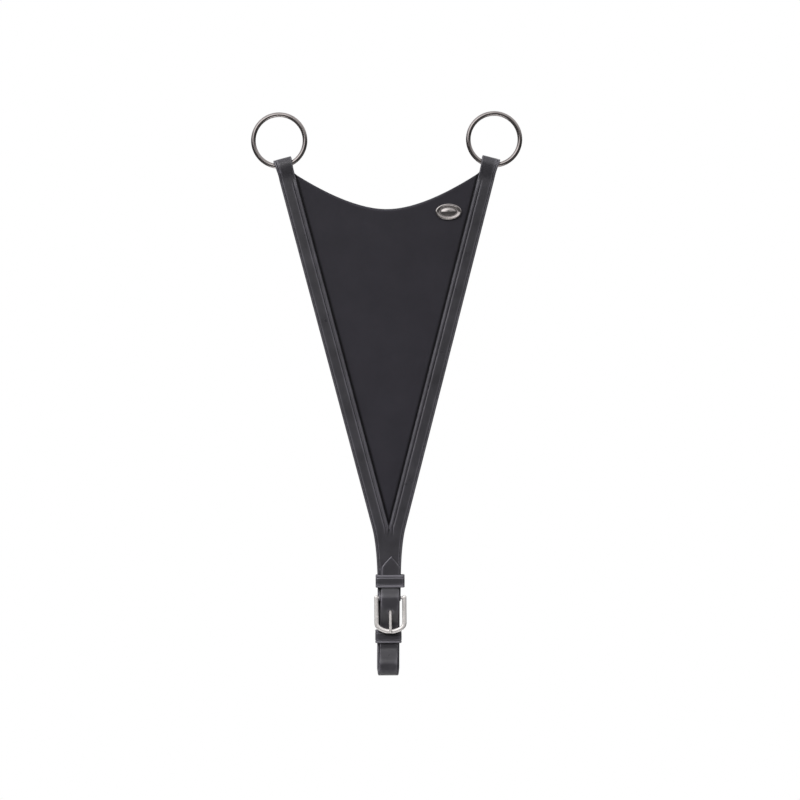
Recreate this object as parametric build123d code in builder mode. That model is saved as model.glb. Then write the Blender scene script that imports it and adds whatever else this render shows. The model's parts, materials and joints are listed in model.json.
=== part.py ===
"""Bib martingale attachment in leather and steel.

Millimetres, +Z up, the front faces -Y. The origin is the centre of the bottom loop's bend,
where a breastplate is attached. The leather's mid-plane and both rings lie at y = PANEL_Y.
"""

from math import atan2, cos, hypot, radians, sin, sqrt, tan

from build123d import *

# --- overall layout ---------------------------------------------------------------------
RING_HEIGHT = 450.0  # ring centres above the loop
RING_HALF_SPACING = 91.6
ARM_LEAN = 14.63  # degrees, each arm from the vertical
ARM_OUTBOARD = 1.6  # an arm's centreline passes this far outboard of its ring's centre
BIB_TOP = 391.0  # lowest point of the bib's hollow top edge
BIB_CORNER_DROP = 28.5  # where the top edge meets an arm, below the ring centres
BIB_CORNER_SLOPE = 32.5  # degrees, the top edge where it meets an arm

# --- leather ----------------------------------------------------------------------------
ARM_WIDTH = 14.0
FRONT_THICK = 2.4
BIB_THICK = 2.4
BACK_THICK = 1.8
TURN_BACK_THICK = 2.2
STRAP_THICK = 2.4
CHAPE_THICK = 1.3
STEM_HALF = 10.0
STITCH_MARGIN = 1.0  # sandwiched leather stops this far inside the arm's edges
PLY_GAP = 0.1  # between loose plies

# --- rings ------------------------------------------------------------------------------
RING_WIRE_R = 2.0
RING_R = 22.0  # to the wire's centre
RUNNING_GAP = 0.05

# --- ring folds -------------------------------------------------------------------------
FOLD_TOP = 6.6  # leather above the wire's centre
FOLD_HALF_DEPTH = 5.4
FOLD_LENGTH = 14.0  # along the arm, from the wire down to flat leather
FOLD_LAP = 1.0  # the fold's section runs on this far into the flat leather
TONGUE_TOP = 6.8  # the bib's tongue stops this far below the wire's centre
TURN_BACK_END = 50.0
BORE_LAND = 1.0  # the bore is straight this far either side of its middle
BORE_SPARE = 2.0  # the bore's flare is drawn this far past the arm's edges

# --- raised inner edge ------------------------------------------------------------------
BEAD_WIDTH = 3.0
BEAD_RISE = 0.7
FILLER_WIDTH = 2.3
FILLER_THICK = 0.75
FILLER_INSET = 0.4
FILLER_GAP = 0.1
FILLER_TAIL = 0.5  # the filler stops this far short of the groove's foot
BEAD_TOP = 20.0  # below the wire's centre, along the arm
BEAD_BOTTOM = 130.0  # height

# --- stem and lower strap ---------------------------------------------------------------
STEM_BLEND = 120.0  # height where the arms' outer edges start to curve into the stem
STEM_STRAIGHT = 78.0
BLEND_KNEE_OUT = 0.6  # how far outside the stem that curve bends most
STEM_END = 74.0
BACKING_END = 81.0
BIB_END = 107.0
STRAP_TOP = 106.0
STRAP_HALF = 9.5
BILLET_HALF = 7.75
BILLET_TIP = 95.0
TIP_TAPER = 8.0
LOOP_R = 4.7  # the bend's centreline
LOOP_SHIFT = -1.3  # the loop hangs this far to the side of the stem
LOOP_OPENS = 18.0  # below this height the billet leaves the strap behind it
BILLET_LOW_X = -1.15
BILLET_HIGH_X = 1.7
BRIDGE_GAP = 1.1  # between the chape and the billet that bridges the heel bar
CHAPE_INSET = 0.2  # the chape is this much inside the strap's edges and above the stem's end
CHAPE_BULGE = 1.5  # above the heel bar its front ply stands clear this far up
CHAPE_MEETS = 6.5  # and lies on the back ply from here
SLOT_SPARE = 0.8  # the prong's slot is this much wider than the prong's eye
SLOT_BELOW = 3.0  # and reaches this far past the fold
SLOT_DROP = 1.0  # its middle, below the heel bar

# --- buckle -----------------------------------------------------------------------------
HEEL_HEIGHT = 60.0
BUCKLE_X = 0.9
HEEL_R = 1.4
FRAME_INNER_HALF = 10.0
FRAME_OUTER_HALF = 13.7
FRAME_THICK = 3.2
FRAME_TILT = 6.4  # degrees, the far bar stands forward of the heel bar
FRAME_TOP = 2.2
FRAME_OUTER_CORNER = 23.4
FRAME_INNER_CORNER = 21.8
FRAME_OUTER_BOTTOM = 31.2
FRAME_INNER_BOTTOM = 27.6
FRAME_CORNER_R = 1.0
FRAME_EDGE_R = 1.1
HEEL_BAR_HALF = 11.7  # the bar's ends are buried in the frame's sides
PRONG_WIDTH = 2.4
PRONG_THICK = 1.8
PRONG_TAPER = 0.9  # its size at the neck, as a share of its size at the root
PRONG_REST = 0.15  # it lies this far off the far bar
PRONG_PAST = 0.6  # and reaches this far past the bar's middle
NOSE_LENGTH = 2.0
NOSE_WIDE = 1.15  # the nose's size, as shares of the root's
NOSE_DEEP = 0.95
EYE_THICK = 1.0
EYE_WIDTH = 3.4
HOLE_R = 1.7
WORN_HOLE_LENGTH = 11.4  # the hole in use is drawn out by the prong
WORN_HOLE_DROP = 10.6  # its middle, below the heel bar

# --- keepers ----------------------------------------------------------------------------
UPPER_KEEPER_Z = 68.9
UPPER_KEEPER_HIGH = 10.7
UPPER_KEEPER_HALF = 10.95
UPPER_KEEPER_WALL = 1.3
UPPER_KEEPER_X = 0.8
UPPER_KEEPER_ROUND = 1.8
LOWER_KEEPER_Z = 21.5
LOWER_KEEPER_HIGH = 11.1
LOWER_KEEPER_HALF = 9.8
LOWER_KEEPER_WALL = 1.3
LOWER_KEEPER_X = -0.9
LOWER_KEEPER_ROUND = 1.2
LOWER_KEEPER_GAP = 0.15  # it slides on the strap

# --- badge ------------------------------------------------------------------------------
BADGE_X = 52.4
BADGE_Z = 388.3
BADGE_LONG = 22.4
BADGE_SHORT = 13.6
BADGE_THICK = 1.6
BADGE_LEG_R = 0.8
BADGE_LEG_X = 6.0
BADGE_LIFT = 0.02  # clear of the bib
BADGE_RIM = 1.8
BADGE_DISH = 0.4
BADGE_LEG_ROOT = 0.2  # a leg starts this far inside the badge
BADGE_LEG_PROUD = 1.0  # and ends this far behind the bib
WASHER_R = 2.5
WASHER_THICK = 0.6

# --- worked out from the above ----------------------------------------------------------
PANEL_Y = LOOP_R  # the back of the loop's bend runs straight up into the leather's mid-plane
HALF_BIB = BIB_THICK / 2
HALF_STRAP = STRAP_THICK / 2
LEAN = radians(ARM_LEAN)
ARM_HALF = ARM_WIDTH / 2
FRONT_FACE = HALF_BIB + FRONT_THICK  # forward of the mid-plane
LOOSE_BILLET = HALF_STRAP + PLY_GAP + HALF_STRAP  # billet centreline where it lies on the strap
HEEL_FORWARD = HALF_STRAP + PLY_GAP + CHAPE_THICK + HEEL_R + RUNNING_GAP
CHAPE_FRONT = HALF_STRAP + PLY_GAP + 2 * CHAPE_THICK
TAIL_FORWARD = CHAPE_FRONT + 2 * PLY_GAP + HALF_STRAP
CREST = HEEL_FORWARD + HEEL_R + CHAPE_THICK + HALF_STRAP + BRIDGE_GAP  # billet over the heel bar
BRIDGE_TOP = HEEL_HEIGHT + 9.0  # heights where the billet starts, leaves and ends its bridge
BRIDGE_FOOT = HEEL_HEIGHT - 6.0
BILLET_DOWN = HEEL_HEIGHT - 23.0


def centre_x(z):
    """The right arm's centreline at a height."""
    return RING_HALF_SPACING + ARM_OUTBOARD / cos(LEAN) + tan(LEAN) * (z - RING_HEIGHT)


def edge_x(z, inboard):
    """The right arm's edge at a height; inboard is +1 for the inner edge, -1 for the outer."""
    return centre_x(z) - inboard * ARM_HALF / cos(LEAN)


def on_arm(along, across):
    """(x, z) of a point on the right arm, from the wire's centre: up the arm and outboard."""
    x = RING_HALF_SPACING - RING_R * sin(LEAN) + ARM_OUTBOARD * cos(LEAN)
    z = RING_HEIGHT - RING_R * cos(LEAN) - ARM_OUTBOARD * sin(LEAN)
    return (x + along * sin(LEAN) + across * cos(LEAN), z + along * cos(LEAN) - across * sin(LEAN))


def front_plane(forward):
    """A plane facing the front, this far forward of the leather's mid-plane."""
    return Plane.XZ.offset(forward - PANEL_Y)


def section_plane(x):
    """A plane across the strap. Its first axis points forward, its second up."""
    return Plane(origin=(x, PANEL_Y, 0), x_dir=(0, -1, 0), z_dir=(-1, 0, 0))


def finish(builder, label):
    """Label a finished piece and write it."""
    builder.part.label = label
    export_step(builder.part, f"parts/{label}.step")


APEX = RING_HEIGHT - (centre_x(RING_HEIGHT) - ARM_HALF / cos(LEAN)) / tan(LEAN)
BLEND_X = edge_x(STEM_BLEND, -1)
BLEND_KNEE_X = STEM_HALF + BLEND_KNEE_OUT
BLEND_KNEE_Z = STEM_BLEND - (BLEND_X - BLEND_KNEE_X) / tan(LEAN)
CORNER_Z = RING_HEIGHT - BIB_CORNER_DROP
CORNER_X = edge_x(CORNER_Z, 1)
FOLD_AXIS = (cos(LEAN), 0, -sin(LEAN))
WIRE_X, WIRE_Z = on_arm(0, 0)

# the arm's cross-section at the ring: first axis forward, second up the arm
fold_section = Plane(
    origin=(WIRE_X, PANEL_Y, WIRE_Z), x_dir=(0, -1, 0), z_dir=(-cos(LEAN), 0, sin(LEAN))
)
# a plane through the wire's axis, for turning the flared bore about it
bore_plane = Plane(
    origin=(WIRE_X - ARM_OUTBOARD * cos(LEAN), PANEL_Y, WIRE_Z + ARM_OUTBOARD * sin(LEAN)),
    x_dir=FOLD_AXIS,
    z_dir=(0, -1, 0),
)
BORE_REACH = ARM_HALF + ARM_OUTBOARD + BORE_SPARE


def bore_edge(across):
    """(across, radius) on the flared bore: an arc that keeps clear of the ring's curve."""
    return (across, RING_R - sqrt((RING_R - RING_WIRE_R - RUNNING_GAP) ** 2 - across**2))


def yoke_half(arm_stop, stem_stop):
    """Right half of the Y outline, from arm_stop below the wire to stem_stop's height."""
    with BuildSketch(mode=Mode.PRIVATE) as half:
        with BuildLine():
            Polyline(
                (STEM_HALF, STEM_STRAIGHT),
                (STEM_HALF, stem_stop),
                (0, stem_stop),
                (0, APEX),
                on_arm(-arm_stop, -ARM_HALF),
                on_arm(-arm_stop, ARM_HALF),
                (BLEND_X, STEM_BLEND),
            )
            Bezier((BLEND_X, STEM_BLEND), (BLEND_KNEE_X, BLEND_KNEE_Z), (STEM_HALF, STEM_STRAIGHT))
        make_face()
    return half.sketch


# --- front leather: both arms, folded over the rings, and the stem --------------------------
with BuildPart() as yoke_front:
    with BuildSketch(front_plane(HALF_BIB)):
        add(yoke_half(FOLD_LENGTH - FOLD_LAP / 2, STEM_END))
    extrude(amount=FRONT_THICK)
    # raised bead along the inner edge
    with BuildSketch(front_plane(FRONT_FACE)):
        with BuildLine():
            bead_foot = (edge_x(BEAD_BOTTOM, 1), BEAD_BOTTOM)
            Polyline(
                on_arm(-BEAD_TOP, -ARM_HALF),
                on_arm(-BEAD_TOP, BEAD_WIDTH - ARM_HALF),
                (bead_foot[0] + BEAD_WIDTH / cos(LEAN), bead_foot[1]),
                bead_foot,
                close=True,
            )
        make_face()
    extrude(amount=BEAD_RISE)
    # the fold over the ring
    with BuildSketch(fold_section):
        with BuildLine():
            Line((FRONT_FACE, -FOLD_LENGTH - FOLD_LAP), (FRONT_FACE, -FOLD_LENGTH))
            Bezier(
                (FRONT_FACE, -FOLD_LENGTH),
                (FRONT_FACE, -FOLD_LENGTH / 2),
                (FOLD_HALF_DEPTH, -FOLD_LENGTH / 2),
                (FOLD_HALF_DEPTH, 0),
            )
            EllipticalCenterArc((0, 0), FOLD_HALF_DEPTH, FOLD_TOP, 0, arc_size=180)
            Bezier(
                (-FOLD_HALF_DEPTH, 0),
                (-FOLD_HALF_DEPTH, -FOLD_LENGTH / 2),
                (-HALF_BIB - TURN_BACK_THICK, -FOLD_LENGTH / 2),
                (-HALF_BIB - TURN_BACK_THICK, -FOLD_LENGTH),
            )
            Polyline(
                (-HALF_BIB - TURN_BACK_THICK, -FOLD_LENGTH),
                (-HALF_BIB - TURN_BACK_THICK, -TURN_BACK_END),
                (-HALF_BIB, -TURN_BACK_END),
                (-HALF_BIB, -TONGUE_TOP),
                (HALF_BIB, -TONGUE_TOP),
                (HALF_BIB, -FOLD_LENGTH - FOLD_LAP),
                (FRONT_FACE, -FOLD_LENGTH - FOLD_LAP),
            )
        make_face()
    extrude(amount=ARM_HALF, both=True)
    # the bore flares towards both edges, so that the curved wire can turn in it
    with BuildSketch(bore_plane):
        with BuildLine():
            Polyline(bore_edge(-BORE_REACH), (-BORE_REACH, 0), (BORE_REACH, 0), bore_edge(BORE_REACH))
            ThreePointArc(*(bore_edge(x) for x in (-BORE_REACH, -BORE_REACH / 2, -BORE_LAND)))
            Line(bore_edge(-BORE_LAND), bore_edge(BORE_LAND))
            ThreePointArc(*(bore_edge(x) for x in (BORE_LAND, BORE_REACH / 2, BORE_REACH)))
        make_face()
    revolve(axis=Axis(bore_plane.origin, bore_plane.x_dir), mode=Mode.SUBTRACT)
    # a groove under the bead for its filler
    groove_inner = FILLER_INSET - FILLER_GAP
    groove_outer = FILLER_INSET + FILLER_WIDTH + FILLER_GAP
    with BuildSketch(front_plane(HALF_BIB)):
        with BuildLine():
            Polyline(
                on_arm(-BEAD_TOP, groove_inner - ARM_HALF),
                on_arm(-BEAD_TOP, groove_outer - ARM_HALF),
                (bead_foot[0] + groove_outer / cos(LEAN), bead_foot[1]),
                (bead_foot[0] + groove_inner / cos(LEAN), bead_foot[1]),
                close=True,
            )
        make_face()
    extrude(amount=FILLER_THICK + RUNNING_GAP, mode=Mode.SUBTRACT)
    mirror(about=Plane.YZ)
finish(yoke_front, "yoke_front")

# --- filler strips under the raised edges -----------------------------------------------------
filler_end = BEAD_BOTTOM + FILLER_TAIL
filler_foot = (edge_x(filler_end, 1), filler_end)
with BuildPart() as edge_filler_right:
    with BuildSketch(front_plane(HALF_BIB)):
        with BuildLine():
            Polyline(
                on_arm(-BEAD_TOP - 2 * FILLER_GAP, FILLER_INSET - ARM_HALF),
                on_arm(-BEAD_TOP - 2 * FILLER_GAP, FILLER_INSET + FILLER_WIDTH - ARM_HALF),
                (filler_foot[0] + (FILLER_INSET + FILLER_WIDTH) / cos(LEAN), filler_foot[1]),
                (filler_foot[0] + FILLER_INSET / cos(LEAN), filler_foot[1]),
                close=True,
            )
        make_face()
    extrude(amount=FILLER_THICK)
finish(edge_filler_right, "edge_filler_right")

with BuildPart() as edge_filler_left:
    add(edge_filler_right.part)
    mirror(about=Plane.YZ, mode=Mode.REPLACE)
finish(edge_filler_left, "edge_filler_left")

# --- bib panel ----------------------------------------------------------------------------------
with BuildPart() as bib_panel:
    with BuildSketch(front_plane(-HALF_BIB)):
        with BuildLine():
            knee_x = CORNER_X - (CORNER_Z - BIB_TOP) / tan(radians(BIB_CORNER_SLOPE))
            Bezier((0, BIB_TOP), (knee_x, BIB_TOP), (CORNER_X, CORNER_Z))
            Polyline(
                (CORNER_X, CORNER_Z),
                on_arm(-FOLD_LENGTH, STITCH_MARGIN - ARM_HALF),
                on_arm(-TONGUE_TOP - PLY_GAP, STITCH_MARGIN - ARM_HALF),
                on_arm(-TONGUE_TOP - PLY_GAP, ARM_HALF - STITCH_MARGIN),
                (BLEND_X - STITCH_MARGIN, STEM_BLEND),
                (STEM_HALF - STITCH_MARGIN, BIB_END),
                (0, BIB_END),
                (0, BIB_TOP),
            )
        make_face()
    extrude(amount=BIB_THICK)
    mirror(about=Plane.YZ)
    # holes for the badge's legs
    with BuildSketch(front_plane(-HALF_BIB)):
        with Locations((BADGE_X - BADGE_LEG_X, BADGE_Z), (BADGE_X + BADGE_LEG_X, BADGE_Z)):
            Circle(BADGE_LEG_R + RUNNING_GAP)
    extrude(amount=BIB_THICK, mode=Mode.SUBTRACT)
finish(bib_panel, "bib_panel")

# --- back leather, from the turned-back ends of the arms to the stem ------------------------------
with BuildPart() as yoke_backing:
    with BuildSketch(front_plane(-HALF_BIB)):
        add(yoke_half(TURN_BACK_END + 2 * PLY_GAP, STEM_END))
    extrude(amount=-BACK_THICK)
    split(bisect_by=Plane.XY.offset(BACKING_END), keep=Keep.TOP)
    mirror(about=Plane.YZ)
finish(yoke_backing, "yoke_backing")


def s_bend(start, end):
    """Two equal tangent arcs from start to end, upright at both."""
    run = start[1] - end[1]
    side = end[0] - start[0]
    half_turn = atan2(abs(side), run)
    radius = run / (2 * sin(2 * half_turn))
    middle = ((start[0] + end[0]) / 2, (start[1] + end[1]) / 2)
    towards = 1 if side > 0 else -1
    # a point half way along each arc
    reach = radius * (1 - cos(half_turn))
    drop = radius * sin(half_turn)
    ThreePointArc(start, (start[0] + towards * reach, start[1] - drop), middle)
    ThreePointArc(middle, (end[0] - towards * reach, end[1] + drop), end)


# --- lower strap: stem lining, bottom loop and billet in one piece -------------------------------


def billet_x(z):
    """The billet's centreline at a height; it leans a little to one side."""
    return BILLET_LOW_X + (BILLET_HIGH_X - BILLET_LOW_X) * z / BILLET_TIP


# the billet, seen from the side and then cut to its outline
with BuildPart() as billet:
    with BuildSketch(section_plane(0)):
        with BuildLine() as billet_line:
            Line((TAIL_FORWARD, BILLET_TIP), (TAIL_FORWARD, BRIDGE_TOP))
            s_bend((TAIL_FORWARD, BRIDGE_TOP), (CREST, HEEL_HEIGHT))
            Line((CREST, HEEL_HEIGHT), (CREST, BRIDGE_FOOT))
            s_bend((CREST, BRIDGE_FOOT), (LOOSE_BILLET, BILLET_DOWN))
            Line((LOOSE_BILLET, BILLET_DOWN), (LOOSE_BILLET, LOOP_OPENS))
            s_bend((LOOSE_BILLET, LOOP_OPENS), (2 * LOOP_R, 0))
        trace(billet_line.line, STRAP_THICK)
    extrude(amount=2 * BILLET_HALF, both=True)
    with BuildSketch(front_plane(0)):
        with BuildLine():
            tip_foot = BILLET_TIP - TIP_TAPER
            Polyline(
                (billet_x(0) - BILLET_HALF, 0),
                (billet_x(0) + BILLET_HALF, 0),
                (billet_x(tip_foot) + BILLET_HALF, tip_foot),
                (billet_x(BILLET_TIP), BILLET_TIP),
                (billet_x(tip_foot) - BILLET_HALF, tip_foot),
                close=True,
            )
        make_face()
    extrude(amount=3 * CREST, mode=Mode.INTERSECT)
    # the hole in use
    with BuildSketch(front_plane(HALF_STRAP)):
        with Locations((BUCKLE_X, HEEL_HEIGHT - WORN_HOLE_DROP)):
            SlotOverall(WORN_HOLE_LENGTH, 2 * HOLE_R, rotation=90)
    extrude(amount=3 * CREST, mode=Mode.SUBTRACT)

# the bend, narrowing from the back run to the billet
with BuildPart() as bend:
    with BuildSketch(section_plane(0)):
        with BuildLine() as bend_line:
            ThreePointArc((0, 0), (LOOP_R, -LOOP_R), (2 * LOOP_R, 0))
        trace(bend_line.line, STRAP_THICK)
    extrude(amount=2 * STRAP_HALF, both=True)
    with BuildSketch(Plane.XY.offset(-LOOP_R - STRAP_THICK)):
        with BuildLine():
            Polyline(
                (LOOP_SHIFT - STRAP_HALF, LOOP_R + STRAP_THICK),
                (LOOP_SHIFT + STRAP_HALF, LOOP_R + STRAP_THICK),
                (LOOP_SHIFT + STRAP_HALF, LOOP_R - HALF_STRAP),
                (BILLET_LOW_X + BILLET_HALF, HALF_STRAP - LOOP_R),
                (BILLET_LOW_X + BILLET_HALF, -LOOP_R - STRAP_THICK),
                (BILLET_LOW_X - BILLET_HALF, -LOOP_R - STRAP_THICK),
                (BILLET_LOW_X - BILLET_HALF, HALF_STRAP - LOOP_R),
                (LOOP_SHIFT - STRAP_HALF, LOOP_R - HALF_STRAP),
                close=True,
            )
        make_face()
    extrude(amount=LOOP_R + STRAP_THICK, mode=Mode.INTERSECT)

with BuildPart() as lower_strap:
    # the back run, up between the stem's leathers
    with BuildSketch(front_plane(-HALF_STRAP)):
        with BuildLine():
            Polyline(
                (LOOP_SHIFT - STRAP_HALF, 0),
                (LOOP_SHIFT + STRAP_HALF, 0),
                (STRAP_HALF, STRAP_TOP),
                (-STRAP_HALF, STRAP_TOP),
                close=True,
            )
        make_face()
    extrude(amount=STRAP_THICK)
    add(billet.part)
    add(bend.part)
finish(lower_strap, "lower_strap")

# --- chape: a fold of leather round the heel bar, slotted for the prong -------------------------
with BuildPart() as buckle_chape:
    with BuildSketch(section_plane(BUCKLE_X / 2)):
        with BuildLine():
            back = HEEL_FORWARD - HEEL_R - RUNNING_GAP - CHAPE_THICK
            fold_r = HEEL_R + RUNNING_GAP + CHAPE_THICK
            chape_top = STEM_END - CHAPE_INSET
            Line((back, chape_top), (back, HEEL_HEIGHT))
            ThreePointArc(
                (back, HEEL_HEIGHT),
                (HEEL_FORWARD, HEEL_HEIGHT - fold_r),
                (HEEL_FORWARD + fold_r, HEEL_HEIGHT),
            )
            Polyline(
                (HEEL_FORWARD + fold_r, HEEL_HEIGHT),
                (HEEL_FORWARD + fold_r, HEEL_HEIGHT + CHAPE_BULGE),
                (CHAPE_FRONT, HEEL_HEIGHT + CHAPE_MEETS),
                (CHAPE_FRONT, chape_top),
                (back, chape_top),
            )
        make_face()
        with Locations((HEEL_FORWARD, HEEL_HEIGHT)):
            Circle(HEEL_R + RUNNING_GAP, mode=Mode.SUBTRACT)
    extrude(amount=STRAP_HALF - CHAPE_INSET, both=True)
    # the prong's slot, from below the fold to just above the heel bar
    with BuildSketch(front_plane(back - CHAPE_THICK)):
        with Locations((BUCKLE_X, HEEL_HEIGHT - SLOT_DROP)):
            Rectangle(EYE_WIDTH + SLOT_SPARE, 2 * (fold_r + SLOT_BELOW - SLOT_DROP))
    extrude(amount=4 * fold_r, mode=Mode.SUBTRACT)
finish(buckle_chape, "buckle_chape")

# --- buckle frame ---------------------------------------------------------------------------------
TILT = radians(FRAME_TILT)
frame_plane = Plane(
    origin=(BUCKLE_X, PANEL_Y - HEEL_FORWARD, HEEL_HEIGHT),
    x_dir=(1, 0, 0),
    z_dir=(0, -cos(TILT), sin(TILT)),
)
with BuildPart() as buckle_frame:
    with BuildSketch(frame_plane):
        with BuildLine():
            Polyline(
                (-FRAME_INNER_HALF, -FRAME_INNER_CORNER),
                (-FRAME_INNER_HALF, FRAME_TOP),
                (-FRAME_OUTER_HALF, FRAME_TOP),
                (-FRAME_OUTER_HALF, -FRAME_OUTER_CORNER),
            )
            ThreePointArc(
                (-FRAME_OUTER_HALF, -FRAME_OUTER_CORNER),
                (0, -FRAME_OUTER_BOTTOM),
                (FRAME_OUTER_HALF, -FRAME_OUTER_CORNER),
            )
            Polyline(
                (FRAME_OUTER_HALF, -FRAME_OUTER_CORNER),
                (FRAME_OUTER_HALF, FRAME_TOP),
                (FRAME_INNER_HALF, FRAME_TOP),
                (FRAME_INNER_HALF, -FRAME_INNER_CORNER),
            )
            ThreePointArc(
                (FRAME_INNER_HALF, -FRAME_INNER_CORNER),
                (0, -FRAME_INNER_BOTTOM),
                (-FRAME_INNER_HALF, -FRAME_INNER_CORNER),
            )
        make_face()
    extrude(amount=FRAME_THICK / 2, both=True)
    through = Axis(frame_plane.origin, frame_plane.z_dir)
    fillet(buckle_frame.edges().filter_by(through), FRAME_CORNER_R)
    fillet(buckle_frame.faces().sort_by(through)[-1].edges(), FRAME_EDGE_R)
    fillet(buckle_frame.faces().sort_by(through)[0].edges(), FRAME_EDGE_R)
    # heel bar
    with BuildSketch(Plane.YZ.offset(BUCKLE_X)):
        with Locations((PANEL_Y - HEEL_FORWARD, HEEL_HEIGHT)):
            Circle(HEEL_R)
    extrude(amount=HEEL_BAR_HALF, both=True)
finish(buckle_frame, "buckle_frame")

# --- prong ----------------------------------------------------------------------------------------
far_bar_v = (FRAME_OUTER_BOTTOM + FRAME_INNER_BOTTOM) / 2
far_bar_forward = HEEL_FORWARD + far_bar_v * sin(TILT)
far_bar_z = HEEL_HEIGHT - far_bar_v * cos(TILT)
tip_forward = far_bar_forward + FRAME_THICK / 2 + PRONG_THICK / 2 + PRONG_REST
eye_r = HEEL_R + RUNNING_GAP + EYE_THICK
root_forward = HEEL_FORWARD + eye_r - PRONG_THICK / 2
prong_length = hypot(tip_forward - root_forward, HEEL_HEIGHT - far_bar_z) + PRONG_PAST
prong_half = (PRONG_WIDTH / 2, PRONG_THICK / 2)
neck_half = (PRONG_TAPER * prong_half[0], PRONG_TAPER * prong_half[1])
prong_slope = atan2(tip_forward - root_forward, HEEL_HEIGHT - far_bar_z)
# looks along the prong from its eye to its tip
prong_plane = Plane(
    origin=(BUCKLE_X, PANEL_Y - root_forward, HEEL_HEIGHT),
    x_dir=(1, 0, 0),
    z_dir=(0, -sin(prong_slope), -cos(prong_slope)),
)
with BuildPart() as buckle_prong:
    with BuildSketch(Plane.YZ.offset(BUCKLE_X)):
        with Locations((PANEL_Y - HEEL_FORWARD, HEEL_HEIGHT)):
            Circle(eye_r)
    extrude(amount=EYE_WIDTH / 2, both=True)
    with BuildSketch(prong_plane):
        Ellipse(*prong_half)
    with BuildSketch(prong_plane.offset(prong_length - NOSE_LENGTH)):
        Ellipse(*neck_half)
    loft()
    # the tip swells a little where it lies on the far bar
    with BuildSketch(prong_plane.offset(prong_length - NOSE_LENGTH)):
        Ellipse(*neck_half)
    with BuildSketch(prong_plane.offset(prong_length)):
        Ellipse(NOSE_WIDE * prong_half[0], NOSE_DEEP * prong_half[1])
    loft()
    with BuildSketch(Plane.YZ.offset(BUCKLE_X)):
        with Locations((PANEL_Y - HEEL_FORWARD, HEEL_HEIGHT)):
            Circle(HEEL_R + RUNNING_GAP)
    extrude(amount=EYE_WIDTH, both=True, mode=Mode.SUBTRACT)
finish(buckle_prong, "buckle_prong")

# --- keepers: one fixed over the billet's tip, one that slides below the buckle ------------------
with BuildPart() as upper_keeper:
    with BuildSketch(Plane.XY.offset(UPPER_KEEPER_Z)):
        upper_back = -HALF_STRAP - PLY_GAP
        upper_front = TAIL_FORWARD + HALF_STRAP + PLY_GAP
        with Locations((UPPER_KEEPER_X, PANEL_Y - (upper_back + upper_front) / 2)):
            RectangleRounded(
                2 * (UPPER_KEEPER_HALF + UPPER_KEEPER_WALL),
                upper_front - upper_back + 2 * UPPER_KEEPER_WALL,
                UPPER_KEEPER_ROUND,
            )
            Rectangle(2 * UPPER_KEEPER_HALF, upper_front - upper_back, mode=Mode.SUBTRACT)
    extrude(amount=UPPER_KEEPER_HIGH)
finish(upper_keeper, "upper_keeper")

with BuildPart() as lower_keeper:
    with BuildSketch(Plane.XY.offset(LOWER_KEEPER_Z)):
        lower_back = -HALF_STRAP - LOWER_KEEPER_GAP
        lower_front = LOOSE_BILLET + HALF_STRAP + LOWER_KEEPER_GAP
        with Locations((LOWER_KEEPER_X, PANEL_Y - (lower_back + lower_front) / 2)):
            RectangleRounded(
                2 * (LOWER_KEEPER_HALF + LOWER_KEEPER_WALL),
                lower_front - lower_back + 2 * LOWER_KEEPER_WALL,
                LOWER_KEEPER_ROUND,
            )
            Rectangle(2 * LOWER_KEEPER_HALF, lower_front - lower_back, mode=Mode.SUBTRACT)
    extrude(amount=LOWER_KEEPER_HIGH)
finish(lower_keeper, "lower_keeper")

# --- rings ----------------------------------------------------------------------------------------
for name, side in (("ring_left", -1), ("ring_right", 1)):
    ring_x = side * RING_HALF_SPACING
    with BuildPart() as ring:
        with BuildSketch(Plane(origin=(ring_x, PANEL_Y, RING_HEIGHT))):
            with Locations((RING_R, 0)):
                Circle(RING_WIRE_R)
        revolve(axis=Axis((ring_x, PANEL_Y, RING_HEIGHT), (0, 1, 0)))
    finish(ring, name)

# --- badge ----------------------------------------------------------------------------------------
with BuildPart() as badge_body:
    with BuildSketch(front_plane(HALF_BIB + BADGE_LIFT)):
        with Locations((BADGE_X, BADGE_Z)):
            Ellipse(BADGE_LONG / 2, BADGE_SHORT / 2)
    extrude(amount=BADGE_THICK)
    # a shallow dish leaves a raised rim
    with BuildSketch(front_plane(HALF_BIB + BADGE_THICK - BADGE_DISH)):
        with Locations((BADGE_X, BADGE_Z)):
            Ellipse(BADGE_LONG / 2 - BADGE_RIM, BADGE_SHORT / 2 - BADGE_RIM)
    extrude(amount=BADGE_THICK, mode=Mode.SUBTRACT)
    # legs through the bib
    with BuildSketch(front_plane(-HALF_BIB - BADGE_LEG_PROUD)):
        with Locations((BADGE_X - BADGE_LEG_X, BADGE_Z), (BADGE_X + BADGE_LEG_X, BADGE_Z)):
            Circle(BADGE_LEG_R)
    extrude(amount=BADGE_LEG_PROUD + BIB_THICK + BADGE_LEG_ROOT)
finish(badge_body, "badge_body")

with BuildPart() as badge_washers:
    with BuildSketch(front_plane(-HALF_BIB - RUNNING_GAP)):
        with Locations((BADGE_X - BADGE_LEG_X, BADGE_Z), (BADGE_X + BADGE_LEG_X, BADGE_Z)):
            Circle(WASHER_R)
            Circle(BADGE_LEG_R + RUNNING_GAP, mode=Mode.SUBTRACT)
    extrude(amount=-WASHER_THICK)
finish(badge_washers, "badge_washers")
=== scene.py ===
"""The looks of a bib martingale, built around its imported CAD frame. Metres, +Z up, front -Y."""

import json
from math import atan2, cos, pi, radians, sin, sqrt, tan

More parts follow.
